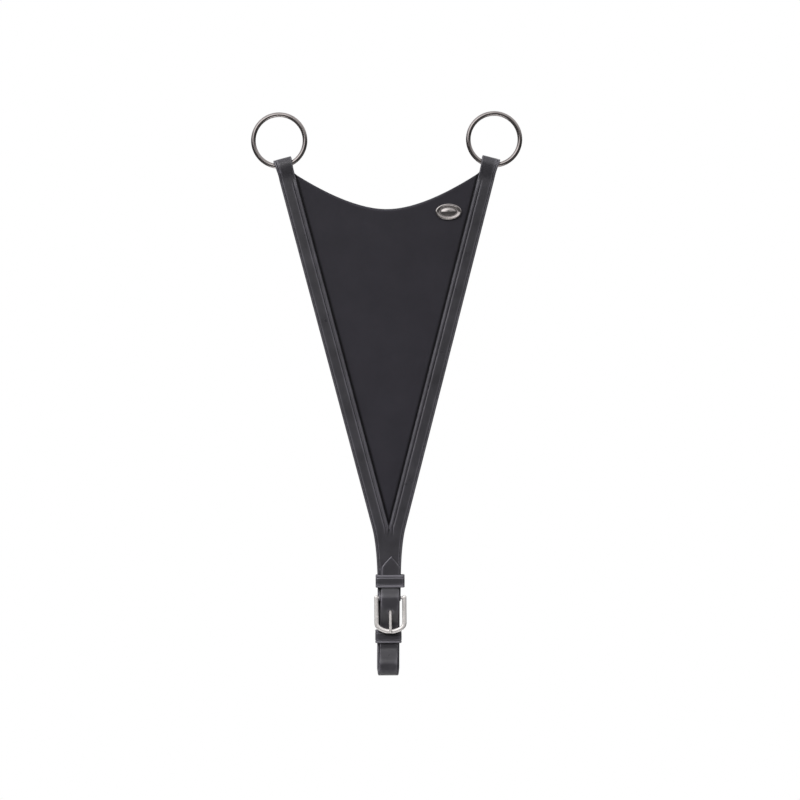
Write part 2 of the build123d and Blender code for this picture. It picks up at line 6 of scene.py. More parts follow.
import bmesh
import bpy
from mathutils import Euler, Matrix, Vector


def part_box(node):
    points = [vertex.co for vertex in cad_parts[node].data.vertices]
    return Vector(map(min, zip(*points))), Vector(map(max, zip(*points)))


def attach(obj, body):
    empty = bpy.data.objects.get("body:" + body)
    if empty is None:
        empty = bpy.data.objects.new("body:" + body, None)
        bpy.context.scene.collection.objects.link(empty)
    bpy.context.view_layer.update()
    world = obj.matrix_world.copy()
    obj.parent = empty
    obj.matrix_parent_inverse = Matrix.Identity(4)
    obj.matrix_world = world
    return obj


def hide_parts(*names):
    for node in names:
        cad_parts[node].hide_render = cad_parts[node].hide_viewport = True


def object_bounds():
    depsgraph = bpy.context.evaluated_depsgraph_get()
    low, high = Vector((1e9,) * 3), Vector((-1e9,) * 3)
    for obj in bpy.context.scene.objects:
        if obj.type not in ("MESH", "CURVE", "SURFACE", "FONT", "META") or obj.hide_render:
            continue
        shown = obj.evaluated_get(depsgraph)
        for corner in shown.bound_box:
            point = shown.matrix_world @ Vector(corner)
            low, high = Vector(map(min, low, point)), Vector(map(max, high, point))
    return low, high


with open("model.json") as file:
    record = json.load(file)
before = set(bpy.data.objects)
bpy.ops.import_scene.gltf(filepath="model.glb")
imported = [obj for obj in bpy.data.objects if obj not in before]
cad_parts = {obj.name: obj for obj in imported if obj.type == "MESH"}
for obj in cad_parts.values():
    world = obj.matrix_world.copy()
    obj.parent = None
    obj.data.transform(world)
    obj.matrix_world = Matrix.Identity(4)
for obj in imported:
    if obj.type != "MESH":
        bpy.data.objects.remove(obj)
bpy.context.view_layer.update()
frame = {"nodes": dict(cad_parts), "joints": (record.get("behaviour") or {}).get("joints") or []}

MM = 0.001
FORWARD = Vector((0, -1, 0))
ACROSS = Vector((1, 0, 0))

# --- places read from the frame -----------------------------------------------------------
ring_low, ring_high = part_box("ring_right")
RING_AT = (ring_low + ring_high) / 2
WIRE_R = (ring_high.y - ring_low.y) / 2
RING_R = (ring_high.x - ring_low.x) / 2 - WIRE_R
PANEL_Y = RING_AT.y  # the leather's mid-plane
ring_joint = next(j for j in frame["joints"] if j["name"] == "ring_right_swing")
LEAN = atan2(-ring_joint["axis"][2], ring_joint["axis"][0])
ARM_OUTBOARD = 1.6 * MM
FOLD_AT = Vector(ring_joint["pos_m"]) + ARM_OUTBOARD * Vector((cos(LEAN), 0, -sin(LEAN)))
STRAP_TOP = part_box("lower_strap")[1].z
BIB_TOP = 391.0 * MM
STEM_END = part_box("yoke_front")[0].z
BACKING_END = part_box("yoke_backing")[0].z
BIB_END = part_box("bib_panel")[0].z

# --- leather ------------------------------------------------------------------------------
ARM = 14.0 * MM
STEM_HALF = 10.0 * MM
STEM_BLEND = 120.0 * MM
STEM_STRAIGHT = 78.0 * MM
MIDDLE = 1.2 * MM  # the bib's faces stand this far either side of the mid-plane
FRONT = 2.4 * MM
TURNED = 2.2 * MM
BACK = 1.8 * MM
STRAP = 2.4 * MM
SLIP = 0.03 * MM  # keeps neighbouring faces apart
EDGE_ROUND = 0.7 * MM
ROUND_STEPS = 5
CREASE_AT = 1.9 * MM
CREASE_HALF = 0.45 * MM
CREASE_DEEP = 0.34 * MM
CREASE_STEPS = (-1, -0.66, -0.33, 0, 0.33, 0.66, 1)  # columns over a crease, in half widths

FOLD_TOP = 6.6 * MM
FOLD_DEPTH = 5.4 * MM
FOLD_LENGTH = 14.0 * MM
FOLD_FLARE = 0.9 * MM  # the fold spreads this far at each edge
FOLD_PINCH = 0.4 * MM  # and draws in this far where the ring's wire presses
TURN_BACK_END = 50.0 * MM
SKIVE = 0.9 * MM  # the turned-back end is pared down by this much
SKIVE_STEP = 1.5 * MM

BEAD_WIDE = 3.1 * MM
BEAD_RISE = 0.95 * MM
BEAD_GAP = 0.25 * MM  # from the bead to the middle of its crease
BEAD_CREASE = 1.3  # its crease's depth, for each unit of the outer crease's
BEAD_TUCK = 0.2 * MM
BEAD_FOOT = 0.35  # how high its inner side ends, as a share of the leather's thickness
BEAD_STEPS = 12
BEAD_START = (12.0 * MM, 20.0 * MM)  # it grows between these distances below the wire
BEAD_AT_APEX = 0.75
MERGE = 9.0 * MM  # the two beads run together and sink over this length below the apex
STITCH_MARGIN = 1.0 * MM  # the bib stops this far inside the arms' edges
STITCH_PITCH = 3.0 * MM
STITCH_R = 0.3 * MM
STITCH_SLANT = 0.13
STITCH_SINK = 0.16 * MM  # below the leather's face, in a crease
EDGE_SINK = 0.02 * MM  # and where there is none
TONGUE_TOP = 6.9 * MM
BIB_CORNER_DROP = 28.5 * MM
BIB_CORNER_SLOPE = radians(32.5)
BIB_EDGE = 0.6 * MM
BIB_CROWN = 0.5 * MM

STRAP_HALF = 9.5 * MM
BILLET_HALF = 7.75 * MM
BILLET_TIP = 95.0 * MM
TIP_TAPER = 9.4 * MM
LOOP_R = 4.7 * MM
LOOP_SHIFT = -1.3 * MM
BILLET_LOW_X = -1.15 * MM
BILLET_HIGH_X = 1.7 * MM
TAIL_OUT = 5.3 * MM  # the billet's middle, forward of the mid-plane: at its tail,
CREST_OUT = 9.05 * MM  # over the heel bar
LOOSE_OUT = 2.5 * MM  # and where it lies on the strap
HOLE_R = 1.7 * MM
HOLE_SPARE = 0.15 * MM
LIFT = 0.095  # the hole grows by this share of the way below the heel bar, so the prong can lift
CHAPE = 1.3 * MM
CHAPE_REACH = 6.5 * MM  # above the heel bar, where the chape's plies come together
SLOT_UP = 4.2 * MM  # the slot for the prong's eye, above the heel bar
SLOT_SIDE = 0.4 * MM
KEEPER = 1.3 * MM
KEEPER_ROUND = 1.5 * MM
KEEPER_BOW = 0.12 * MM

# --- steel parts --------------------------------------------------------------------------
buckle_joint = next(j for j in frame["joints"] if j["name"] == "buckle_rock")
HEEL = Vector(buckle_joint["pos_m"])
HEEL_R = 1.4 * MM
TILT = radians(6.4)
FRAME_THICK = 3.2 * MM
EYE_THICK = 1.0 * MM
PRONG_THICK = 1.8 * MM
PRONG_HALF = 1.2 * MM
EYE_WIDE = 3.4 * MM
PLAY = 0.05 * MM  # between the heel bar and what goes round it
BADGE_FOOT = MIDDLE + 0.6 * MM
BADGE_LEG_AT = 6.0 * MM
BADGE_LEG_R = 0.8 * MM
BADGE_BEADS = 34

# --- stage and materials ------------------------------------------------------------------
FLOOR_R = 0.7
FLOOR_DROP = 0.30
FLOOR_THICK = 0.02
ARM_SHADOW_REACH = 10.0 * MM  # the painted shadow's ramp covers this much of the bib beside the arms
PLAIN_TONE = 0.25  # the level of flat leather, which leaves room for painted shade below it and a painted highlight on ridges above it
DRIFT_SCALE = 38.0
BROAD_SCALE = 110.0


def place(x, forward, z):
    """A point from its place across, forward of the mid-plane and up."""
    return Vector((x, PANEL_Y - forward, z))


def mix(a, b, t):
    return a + (b - a) * t


def turns(count):
    """Angles once round, evenly spread."""
    return [2 * pi * k / count for k in range(count)]


def smooth(t):
    t = min(1.0, max(0.0, t))
    return t * t * (3 - 2 * t)


def bezier(points, t):
    """A point on a Bezier curve through any number of control points."""
    while len(points) > 1:
        points = [mix(a, b, t) for a, b in zip(points, points[1:])]
    return points[0]


def on_arm(along, across):
    """(x, z) on the right arm, from the ring's wire: up the arm and outboard."""
    return Vector((
        FOLD_AT.x + along * sin(LEAN) + across * cos(LEAN),
        FOLD_AT.z + along * cos(LEAN) - across * sin(LEAN),
    ))


def outer_x(z):
    """The right arm's straight outer edge at a height."""
    top = on_arm(0, ARM / 2)
    return top.x + (z - top.y) * tan(LEAN)


APEX = on_arm(0, -ARM / 2).y - on_arm(0, -ARM / 2).x / tan(LEAN)
BLEND_X = outer_x(STEM_BLEND)
KNEE_X = STEM_HALF + 0.6 * MM
KNEE = Vector((KNEE_X, STEM_BLEND - (BLEND_X - KNEE_X) / tan(LEAN)))
OUTER_AT_APEX = STEM_BLEND - 4 * MM  # the outer end of the row that passes through the apex


# --- meshes -------------------------------------------------------------------------------
def new_object(name, shell, material):
    """An object from a shell, with clean outward normals and smooth shading."""
    mesh = bpy.data.meshes.new(name)
    mesh.from_pydata([tuple(v) for v in shell.verts], [], shell.faces)
    obj = bpy.data.objects.new(name, mesh)
    bpy.context.scene.collection.objects.link(obj)
    tidy_mesh(obj)
    mesh.materials.append(material)
    return obj


def tidy_mesh(obj):
    """Join points that meet, drop slivers and turn every face outwards."""
    bm = bmesh.new()
    bm.from_mesh(obj.data)
    bmesh.ops.remove_doubles(bm, verts=bm.verts, dist=0.002 * MM)
    bmesh.ops.dissolve_degenerate(bm, edges=bm.edges, dist=0.001 * MM)
    bmesh.ops.recalc_face_normals(bm, faces=bm.faces)
    bm.to_mesh(obj.data)
    bm.free()
    obj.data.polygons.foreach_set("use_smooth", [True] * len(obj.data.polygons))


class Shell:
    """Vertices and faces gathered for one piece."""

    def __init__(self):
        self.verts = []
        self.faces = []

    def loops(self, rows, caps=True, closed=False):
        """Join rows of equal length, each a closed loop, one after another."""
        first = len(self.verts)
        count = len(rows[0])
        for row in rows:
            self.verts += row
        steps = len(rows) if closed else len(rows) - 1
        for i in range(steps):
            a = first + i * count
            b = first + (i + 1) % len(rows) * count
            for j in range(count):
                k = (j + 1) % count
                self.faces.append((a + j, a + k, b + k, b + j))
        if caps and not closed:
            self.faces.append(tuple(range(first, first + count)))
            last = first + (len(rows) - 1) * count
            self.faces.append(tuple(range(last + count - 1, last - 1, -1)))

    def mirrored(self):
        """Add the same again on the other side of x = 0."""
        first = len(self.verts)
        self.verts += [Vector((-v.x, v.y, v.z)) for v in self.verts]
        self.faces += [tuple(first + i for i in reversed(f)) for f in list(self.faces)]


def boolean(obj, other, operation):
    """Cut or join obj with other, which is used up."""
    modifier = obj.modifiers.new("cut", "BOOLEAN")
    modifier.operation = operation
    modifier.solver = "EXACT"
    modifier.object = other
    depsgraph = bpy.context.evaluated_depsgraph_get()
    mesh = bpy.data.meshes.new_from_object(obj.evaluated_get(depsgraph))
    obj.modifiers.clear()
    material = obj.data.materials[0]
    obj.data = mesh
    mesh.materials.clear()
    mesh.materials.append(material)
    bpy.data.objects.remove(other)
    tidy_mesh(obj)


def keep_edges_crisp(obj, degrees=38):
    """Shade smooth except across sharp edges."""
    mesh = obj.data
    bm = bmesh.new()
    bm.from_mesh(mesh)
    for edge in bm.edges:
        if len(edge.link_faces) == 2:
            edge.smooth = edge.calc_face_angle(0) < radians(degrees)
    bm.to_mesh(mesh)
    bm.free()


# --- materials ----------------------------------------------------------------------------
def shader(name):
    """A new material, its node tree and its Principled shader."""
    material = bpy.data.materials.new(name)
    material.use_nodes = True
    return material, material.node_tree, material.node_tree.nodes["Principled BSDF"]


def node(tree, kind, **settings):
    """A node with its sockets or properties set."""
    made = tree.nodes.new(kind)
    for key, value in settings.items():
        if key in made.inputs:
            made.inputs[key].default_value = value
        else:
            setattr(made, key, value)
    return made


def ramp(tree, source, stops):
    """A colour ramp over source with (place, colour) stops."""
    made = tree.nodes.new("ShaderNodeValToRGB")
    while len(made.color_ramp.elements) < len(stops):
        made.color_ramp.elements.new(0.5)
    for element, (at, colour) in zip(made.color_ramp.elements, stops):
        element.position = at
        element.color = (*colour, 1)
    tree.links.new(source, made.inputs["Fac"])
    return made.outputs["Color"]


def grey(value):
    return (value, value, value)


def object_place(tree):
    return node(tree, "ShaderNodeTexCoord").outputs["Object"]


def noise(tree, at, scale, detail, roughness=0.5):
    """A noise texture over a place."""
    made = node(tree, "ShaderNodeTexNoise", Scale=scale, Detail=detail, Roughness=roughness)
    tree.links.new(at, made.inputs["Vector"])
    return made


def map_range(tree, source, low, high, to_low=0.0, to_high=1.0, **settings):
    """A value drawn out from one range to another."""
    made = node(tree, "ShaderNodeMapRange", **settings)
    ends = {"From Min": low, "From Max": high, "To Min": to_low, "To Max": to_high}
    for name, value in ends.items():
        made.inputs[name].default_value = value
    tree.links.new(source, made.inputs["Value"])
    return made.outputs["Result"]


def bumped(tree, height, strength, distance, under=None):
    """A bump's normal, on top of another one's if that is given."""
    made = node(tree, "ShaderNodeBump", Strength=strength, Distance=distance)
    tree.links.new(height, made.inputs["Height"])
    if under:
        tree.links.new(under, made.inputs["Normal"])
    return made.outputs["Normal"]


def multiplied(tree, a, b):
    """One colour times another."""
    made = node(tree, "ShaderNodeMix", data_type="RGBA", blend_type="MULTIPLY", Factor=1.0)
    tree.links.new(a, made.inputs[6])
    tree.links.new(b, made.inputs[7])
    return made.outputs[2]


def painted_shadow_beside_arms(tree, at):
    """Painted shadow on the bib along the arms' inner edges, darkest right beside them."""
    link = tree.links.new
    fold = node(tree, "ShaderNodeVectorMath", operation="ABSOLUTE")
    link(at, fold.inputs[0])
    inboard = node(tree, "ShaderNodeVectorMath", operation="DOT_PRODUCT")
    link(fold.outputs["Vector"], inboard.inputs[0])
    inboard.inputs[1].default_value = (-cos(LEAN), 0, sin(LEAN))
    edge = APEX * sin(LEAN)
    off = map_range(tree, inboard.outputs["Value"], edge, edge + ARM_SHADOW_REACH)
    # painted shadow: the bib darkens most where the arms' inner edges stand over it
    return ramp(tree, off,
                [(0.0, grey(0.12)), (0.14, grey(0.25)), (0.24, grey(0.95)), (0.4, grey(1.0))])


def grain_height(tree, at, size):
    """Leather's pebbles and pores, from cells of this size drawn out of line by a noise."""
    link = tree.links.new
    warp = noise(tree, at, 0.25 / size, 2.0)
    shifted = node(tree, "ShaderNodeVectorMath", operation="MULTIPLY_ADD")
    link(warp.outputs["Color"], shifted.inputs[0])
    shifted.inputs[1].default_value = (size * 0.9,) * 3
    link(at, shifted.inputs[2])
    cells = node(tree, "ShaderNodeTexVoronoi", feature="DISTANCE_TO_EDGE", Scale=1 / size)
    link(shifted.outputs["Vector"], cells.inputs["Vector"])
    pebble = map_range(tree, cells.outputs["Distance"], 0.0, 0.32,
                       interpolation_type="SMOOTHSTEP")
    pores = noise(tree, at, 2.6 / size, 3.0, 0.65)
    height = node(tree, "ShaderNodeMath", operation="MULTIPLY_ADD")
    link(pores.outputs["Fac"], height.inputs[0])
    height.inputs[1].default_value = 0.45
    link(pebble, height.inputs[2])
    return height.outputs["Value"]


def leather(name, colour, rough, grain=1.0, sheen=0.0, ridge_highlight_and_wear=0.0, drifting=0.2,
            shine=0.5, grain_size=0.55 * MM, arm_shadow=False):
    """Dressed leather: pebble grain, pores, slow colour drift, painted shade in hollows, a painted
    highlight with rub marks on ridges, and where asked for a painted shadow beside the arms.
    """
    material, tree, bsdf = shader(name)
    link = tree.links.new
    at = object_place(tree)
    drift = noise(tree, at, DRIFT_SCALE, 4.0, 0.6)
    dark = tuple(c / PLAIN_TONE * (1 - drifting) for c in colour)
    light = tuple(c / PLAIN_TONE * (1 + drifting) for c in colour)
    base = ramp(tree, drift.outputs["Fac"], [(0.32, dark), (0.70, light)])
    broad = noise(tree, at, BROAD_SCALE, 3.0)
    fine = bumped(tree, grain_height(tree, at, grain_size), 0.32 * grain, 0.05 * MM)
    slow = bumped(tree, broad.outputs["Fac"], 0.10, 0.4 * MM, under=fine)
    link(slow, bsdf.inputs["Normal"])
    edges = node(tree, "ShaderNodeNewGeometry").outputs["Pointiness"]
    # painted shade in concave hollows and creases, and a painted highlight with rub marks on convex
    # ridges and edges
    crease_shade_ridge_highlight = ramp(tree, edges, [(0.43, grey(0.05)), (0.488, grey(PLAIN_TONE)),
                              (0.506, grey(PLAIN_TONE)), (0.545, grey(PLAIN_TONE + ridge_highlight_and_wear))])
    base = multiplied(tree, base, crease_shade_ridge_highlight)
    # painted shadow of the arms' raised edges on the bib
    if arm_shadow:
        base = multiplied(tree, base, painted_shadow_beside_arms(tree, at))
    link(base, bsdf.inputs["Base Color"])
    link(map_range(tree, broad.outputs["Fac"], 0.3, 0.7, rough - 0.05, rough + 0.08),
         bsdf.inputs["Roughness"])
    bsdf.inputs["Specular IOR Level"].default_value = shine
    bsdf.inputs["Sheen Weight"].default_value = sheen
    bsdf.inputs["Sheen Roughness"].default_value = 0.5
    return material


def polished(name, colour, rough, metal=1.0):
    """Polished steel with fine rub marks and faint tarnish."""
    material, tree, bsdf = shader(name)
    link = tree.links.new
    at = object_place(tree)
    tarnish = noise(tree, at, 140.0, 5.0, 0.6)
    dull = tuple(c * 0.88 for c in colour)
    base = ramp(tree, tarnish.outputs["Fac"], [(0.35, dull), (0.62, colour)])
    link(base, bsdf.inputs["Base Color"])
    stretch = node(tree, "ShaderNodeMapping")
    stretch.inputs["Scale"].default_value = (1.0, 0.35, 0.6)
    link(at, stretch.inputs["Vector"])
    rubs = noise(tree, stretch.outputs["Vector"], 900.0, 3.0, 0.7)
    link(bumped(tree, rubs.outputs["Fac"], 0.08, 0.01 * MM), bsdf.inputs["Normal"])
    link(map_range(tree, tarnish.outputs["Fac"], 0.3, 0.7, rough, rough + 0.06),
         bsdf.inputs["Roughness"])
    bsdf.inputs["Metallic"].default_value = metal
    return material


def waxed_thread(name, colour):
    """Twisted thread: fine slanting ridges, with painted shade in the grooves between them."""
    material, tree, bsdf = shader(name)
    link = tree.links.new
    twist = node(tree, "ShaderNodeTexWave", Scale=700.0, Distortion=1.0,
                 bands_direction="DIAGONAL")
    link(object_place(tree), twist.inputs["Vector"])
    # painted shade: darker where the twist's bump is low
    hollow = tuple(c * 0.55 for c in colour)
    base = ramp(tree, twist.outputs["Fac"], [(0.2, hollow), (0.8, colour)])
    link(base, bsdf.inputs["Base Color"])
    link(bumped(tree, twist.outputs["Fac"], 0.5, 0.05 * MM), bsdf.inputs["Normal"])
    bsdf.inputs["Roughness"].default_value = 0.62
    return material


STRAP_LEATHER = leather("strap_leather", (0.0300, 0.0287, 0.0328), 0.32,
                        grain=0.6, ridge_highlight_and_wear=0.7, drifting=0.22)
BIB_LEATHER = leather("bib_leather", (0.0200, 0.0186, 0.0236), 0.50, ridge_highlight_and_wear=0.3, drifting=0.08,
                      shine=0.25, grain_size=0.7 * MM, arm_shadow=True)
LINING = leather("lining_leather", (0.0230, 0.0212, 0.0220), 0.62,
                 grain=1.2, sheen=0.05, ridge_highlight_and_wear=0.2)
THREAD = waxed_thread("black_thread", (0.014, 0.014, 0.016))
STEEL = polished("ring_steel", (0.54, 0.49, 0.48), 0.12)
BUCKLE_STEEL = polished("buckle_steel", (0.90, 0.86, 0.84), 0.22, metal=0.62)
BADGE_STEEL = polished("badge_steel", (0.70, 0.65, 0.64), 0.16)


def finish_piece(obj, body, slot, *nodes):
    """Ride on a body and stand for CAD nodes. The slot argument is not used."""
    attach(obj, body)
    if nodes:
        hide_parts(*nodes)
    return obj


# --- strip profiles -----------------------------------------------------------------------
def dip(d, at):
    """Depth of a creased line at a distance from the edge."""
    off = abs(d - at) / CREASE_HALF
    return CREASE_DEEP * (1 - off) ** 2 * (1 + 2 * off) if off < 1 else 0.0


def front_columns(width):
    """Distances from the outer edge for the front face's columns, close together at details."""
    near = [EDGE_ROUND, EDGE_ROUND + 0.35 * MM]
    near += [CREASE_AT + k * CREASE_HALF for k in CREASE_STEPS]
    crease = width - BEAD_WIDE - BEAD_GAP
    far = [crease + k * CREASE_HALF for k in CREASE_STEPS[:5]]
    middle = [mix(near[-1], far[0], k / 7) for k in range(1, 7)]
    return near + middle + far


def arm_section(width, thick, bead_fade, inner_fade):
    """The front leather's section. Distances run from the outer edge to the inner one.

    bead_fade is 1 where the raised inner edge is full, and 0 where the strip is plain.
    inner_fade is 0 where the strip has no inner edge and runs on into its mirror image."""
    loop = []
    for i in range(ROUND_STEPS):
        a = i / (ROUND_STEPS - 1) * pi / 2
        loop.append((EDGE_ROUND * (1 - cos(a)), thick - EDGE_ROUND * (1 - sin(a))))
    for d in front_columns(width):
        if d <= EDGE_ROUND:
            continue
        height = thick - dip(d, CREASE_AT)
        height -= bead_fade * BEAD_CREASE * dip(d, width - BEAD_WIDE - BEAD_GAP)
        loop.append((d, height))
    # the raised bead, a half round, or the plain rounded edge that it fades into
    for i in range(1, BEAD_STEPS + 1):
        t = i / BEAD_STEPS
        a = pi * t
        bead_d = width - BEAD_WIDE / 2 - cos(a) * BEAD_WIDE / 2
        bead_h = thick + BEAD_RISE * sin(a) ** 0.8 - (BEAD_TUCK if i == 1 else 0.0)
        if t > 0.5:  # its inner side falls to the bib
            foot = thick * BEAD_FOOT
            bead_h = foot + (thick - foot + BEAD_RISE) * sin(a) ** 0.9
        plain_d = width - BEAD_WIDE * (1 - t)
        edge = max(0.0, plain_d - (width - EDGE_ROUND)) / EDGE_ROUND
        plain_h = thick - inner_fade * EDGE_ROUND * (1 - sqrt(max(0.0, 1 - edge**2)))
        loop.append((mix(plain_d, bead_d, bead_fade), mix(plain_h, bead_h, bead_fade)))
    return loop + [(width * (1 - k / 5), 0.0) for k in range(6)]


class Row:
    """One row across a strip, from the back corner of its outer edge to its inner edge."""

    def __init__(self, outer, inner, normal, thick, bead=0.0, inner_edge=1.0):
        self.outer = outer
        self.across = (inner - outer).normalized()
        self.width = (inner - outer).length
        self.normal = normal
        self.thick = thick
        self.bead = bead
        self.inner_edge = inner_edge

    def points(self):
        loop = arm_section(self.width, self.thick, self.bead, self.inner_edge)
        return [self.outer + self.across * d + self.normal * h for d, h in loop]


def fold_rows():
    """Rows from the turned-back end, up the back, over the ring's wire and down to flat leather."""
    up = Vector((sin(LEAN), 0, cos(LEAN)))

    def outside(t):
        """(forward, along) of the outer face, t from 0 at the back to 1 at the front."""
        back_face = -MIDDLE - TURNED
        front_face = MIDDLE + FRONT
        if t < 0.3:
            k = t / 0.3
            ctrl = [(back_face, -FOLD_LENGTH), (back_face, -FOLD_LENGTH / 2),
                    (-FOLD_DEPTH, -FOLD_LENGTH / 2), (-FOLD_DEPTH, 0)]
            return bezier([Vector(c) for c in ctrl], k)
        if t <= 0.7:
            a = pi * (1 - (t - 0.3) / 0.4)
            return Vector((FOLD_DEPTH * cos(a), FOLD_TOP * sin(a)))
        k = (t - 0.7) / 0.3
        ctrl = [(FOLD_DEPTH, 0), (FOLD_DEPTH, -FOLD_LENGTH / 2),
                (front_face, -FOLD_LENGTH / 2), (front_face, -FOLD_LENGTH)]
        return bezier([Vector(c) for c in ctrl], k)

    flat = Vector((-1, 0))
    stations = []
    for k in range(7):
        pared = SKIVE * (1 - k / 6)
        stations.append((-MIDDLE - TURNED + pared, -TURN_BACK_END + k * SKIVE_STEP,
                         TURNED - pared, flat, 0.0))
    for k in range(9):
        along = mix(-TURN_BACK_END + 7 * SKIVE_STEP, -FOLD_LENGTH - 1 * MM, k / 8)
        stations.append((-MIDDLE - TURNED, along, TURNED, flat, 0.0))
    steps = 44
    for i in range(steps + 1):
        t = i / steps
        run = (outside(min(1, t + 0.01)) - outside(max(0, t - 0.01))).normalized()
        normal = Vector((-run.y, run.x))  # turned left of the run, to the outside
        stations.append((*outside(t), mix(TURNED, FRONT, t), normal, t))
    rows = []
    for forward, along, thick, normal2, t in stations:
        spread = FOLD_FLARE * smooth(1 - abs(t - 0.5) / 0.32)
        spread -= FOLD_PINCH * smooth(1 - abs(t - 0.87) / 0.1)
        outer = on_arm(along, ARM / 2 + spread)
        inner = on_arm(along, -ARM / 2 - spread)
        normal = FORWARD * normal2.x + up * normal2.y
        back = normal * -thick
        rows.append(Row(place(outer.x, forward, outer.y) + back,
                        place(inner.x, forward, inner.y) + back, normal, thick))
    return rows


def arm_rows(first_along, base, normal, thick, end, bead):
    """Rows down an arm and into the stem. base is how far forward their flat side lies."""
    rows = []
    blend_along = (STEM_BLEND - FOLD_AT.z + ARM / 2 * sin(LEAN)) / cos(LEAN)
    count = 96
    for i in range(count):
        along = mix(first_along, blend_along, i / (count - 1))
        grow = smooth((-along - BEAD_START[0]) / (BEAD_START[1] - BEAD_START[0]))
        outer = on_arm(along, ARM / 2)
        inner = on_arm(along, -ARM / 2)
        rows.append(Row(place(outer.x, base, outer.y), place(inner.x, base, inner.y), normal,
                        thick, bead * grow))
    inner_start = on_arm(blend_along, -ARM / 2).y
    to_apex = 5
    for i in range(1, to_apex + 1):
        t = i / to_apex
        z = mix(inner_start, APEX, t)
        outer_z = mix(STEM_BLEND, OUTER_AT_APEX, t)
        rows.append(Row(place(outline_x(outer_z), base, outer_z),
                        place((z - APEX) * tan(LEAN), base, z), normal, thick,
                        bead * mix(1.0, BEAD_AT_APEX, t), 1 - smooth(t)))
    below = 40
    for i in range(1, below + 1):
        t = i / below
        z = mix(APEX, end, t)
        outer_z = mix(OUTER_AT_APEX, end, t)
        sunk = smooth((APEX - z) / MERGE)
        rows.append(Row(place(outline_x(outer_z), base, outer_z), place(0, base, z),
                        normal, thick, bead * BEAD_AT_APEX * (1 - sunk), 0.0))
    return rows


def outline_x(z):
    """The Y's right outer edge at a height: straight arm, curve, straight stem."""
    if z >= STEM_BLEND:
        return outer_x(z)
    if z <= STEM_STRAIGHT:
        return STEM_HALF
    low, high = 0.0, 1.0
    curve = [Vector((BLEND_X, STEM_BLEND)), KNEE, Vector((STEM_HALF, STEM_STRAIGHT))]
    for _ in range(30):
        t = (low + high) / 2
        at = bezier(curve, t)
        if at.y > z:
            low = t
        else:
            high = t
    return at.x


def y_shape(name, rows, material):
    """A Y-shaped leather from the right half's rows, mirrored and joined down the middle."""
    shell = Shell()
    shell.loops([row.points() for row in rows])
    shell.mirrored()
    obj = new_object(name, shell, material)
    # faces between the two halves, below the apex, lie on x = 0 and are inside the leather
    bm = bmesh.new()
    bm.from_mesh(obj.data)
    inside = [f for f in bm.faces if all(abs(v.co.x) < 0.001 * MM for v in f.verts)]
    bmesh.ops.delete(bm, geom=inside, context="FACES")
    bmesh.ops.recalc_face_normals(bm, faces=bm.faces)
    bm.to_mesh(obj.data)
    bm.free()
    keep_edges_crisp(obj)
    return obj


def build_yoke():
    """The front leather with its turned-back ends, and the backing behind it."""
    rows = fold_rows() + arm_rows(-FOLD_LENGTH - 0.6 * MM, MIDDLE, FORWARD, FRONT, STEM_END, 1.0)
    front = y_shape("yoke_front_leather", rows, STRAP_LEATHER)
    finish_piece(front, "bib", "strap_leather",
                 "yoke_front", "edge_filler_left", "edge_filler_right")
    rows = arm_rows(-TURN_BACK_END - 0.4 * MM, -MIDDLE, -FORWARD, BACK, BACKING_END, 0.0)
    back = y_shape("yoke_back_leather", rows, LINING)
    finish_piece(back, "bib", "lining_leather", "yoke_backing")


# --- bib ----------------------------------------------------------------------------------
def bib_top_edge():
    """Right half of the bib's top edge: the hollow curve, then the tongue inside the arm."""
    corner_z = RING_AT.z - BIB_CORNER_DROP
    corner_along = (corner_z - FOLD_AT.z - ARM / 2 * sin(LEAN)) / cos(LEAN)
    corner = on_arm(corner_along, -ARM / 2)
    knee = Vector((corner.x - (corner.y - BIB_TOP) / tan(BIB_CORNER_SLOPE), BIB_TOP))
    curve = [bezier([Vector((0, BIB_TOP)), knee, corner], i / 40) for i in range(41)]
    inside = ARM / 2 - STITCH_MARGIN
    return curve + [on_arm(-TONGUE_TOP, across) for across in (-inside, 0, inside)]


def bib_crown(at, top_share):
    """How far the bib's face swells between the arms."""
    reach = max(SLIP, (at.y - APEX) * tan(LEAN) - 2 * MM)
    off = min(1.0, abs(at.x) / reach)
    low = smooth((at.y - APEX - 5 * MM) / (60 * MM))
    return BIB_CROWN * (1 - off**2) ** 1.5 * low * (0.35 + 0.65 * smooth(top_share / 0.1))


def build_bib():
    """Copies of the top edge, smaller and smaller towards the point where its sides would meet."""
    right = bib_top_edge()
    across = [Vector((-p.x, p.y)) for p in reversed(right[1:])] + right
    point = Vector((0, BIB_TOP - (outer_x(BIB_TOP) - STITCH_MARGIN) / tan(LEAN)))
    last = (BIB_END - point.y) / (BIB_TOP - point.y)
    half = MIDDLE - SLIP
    shell = Shell()
    rows = []
    for i in range(4):  # the top edge, turned over
        a = i / 4 * pi / 2
        depth = half - BIB_EDGE * (1 - sin(a))
        sink = BIB_EDGE * (1 - cos(a))
        rows.append([place(p.x, depth, p.y - sink) for p in across]
                    + [place(p.x, -depth, p.y - sink) for p in reversed(across)])
    for i in range(91):
        t = i / 90
        scale = mix(1.0, last, t**1.15)
        sink = BIB_EDGE * (1 - t)
        ats = [point + (p - point) * scale for p in across]
        rows.append([place(p.x, half + bib_crown(p, 1 - scale), p.y - sink) for p in ats]
                    + [place(p.x, -half, p.y - sink) for p in reversed(ats)])
    shell.loops(rows)
    bib = new_object("bib_leather_panel", shell, BIB_LEATHER)
    keep_edges_crisp(bib, 50)
    finish_piece(bib, "bib", "bib_leather", "bib_panel")


# --- straps swept along a line ------------------------------------------------------------
def quarter(centre, radius, start):
    """A quarter turn, clockwise from an angle."""
    turns = [start - i / ROUND_STEPS * pi / 2 for i in range(ROUND_STEPS + 1)]
    return [(centre[0] + radius * cos(a), centre[1] + radius * sin(a)) for a in turns]


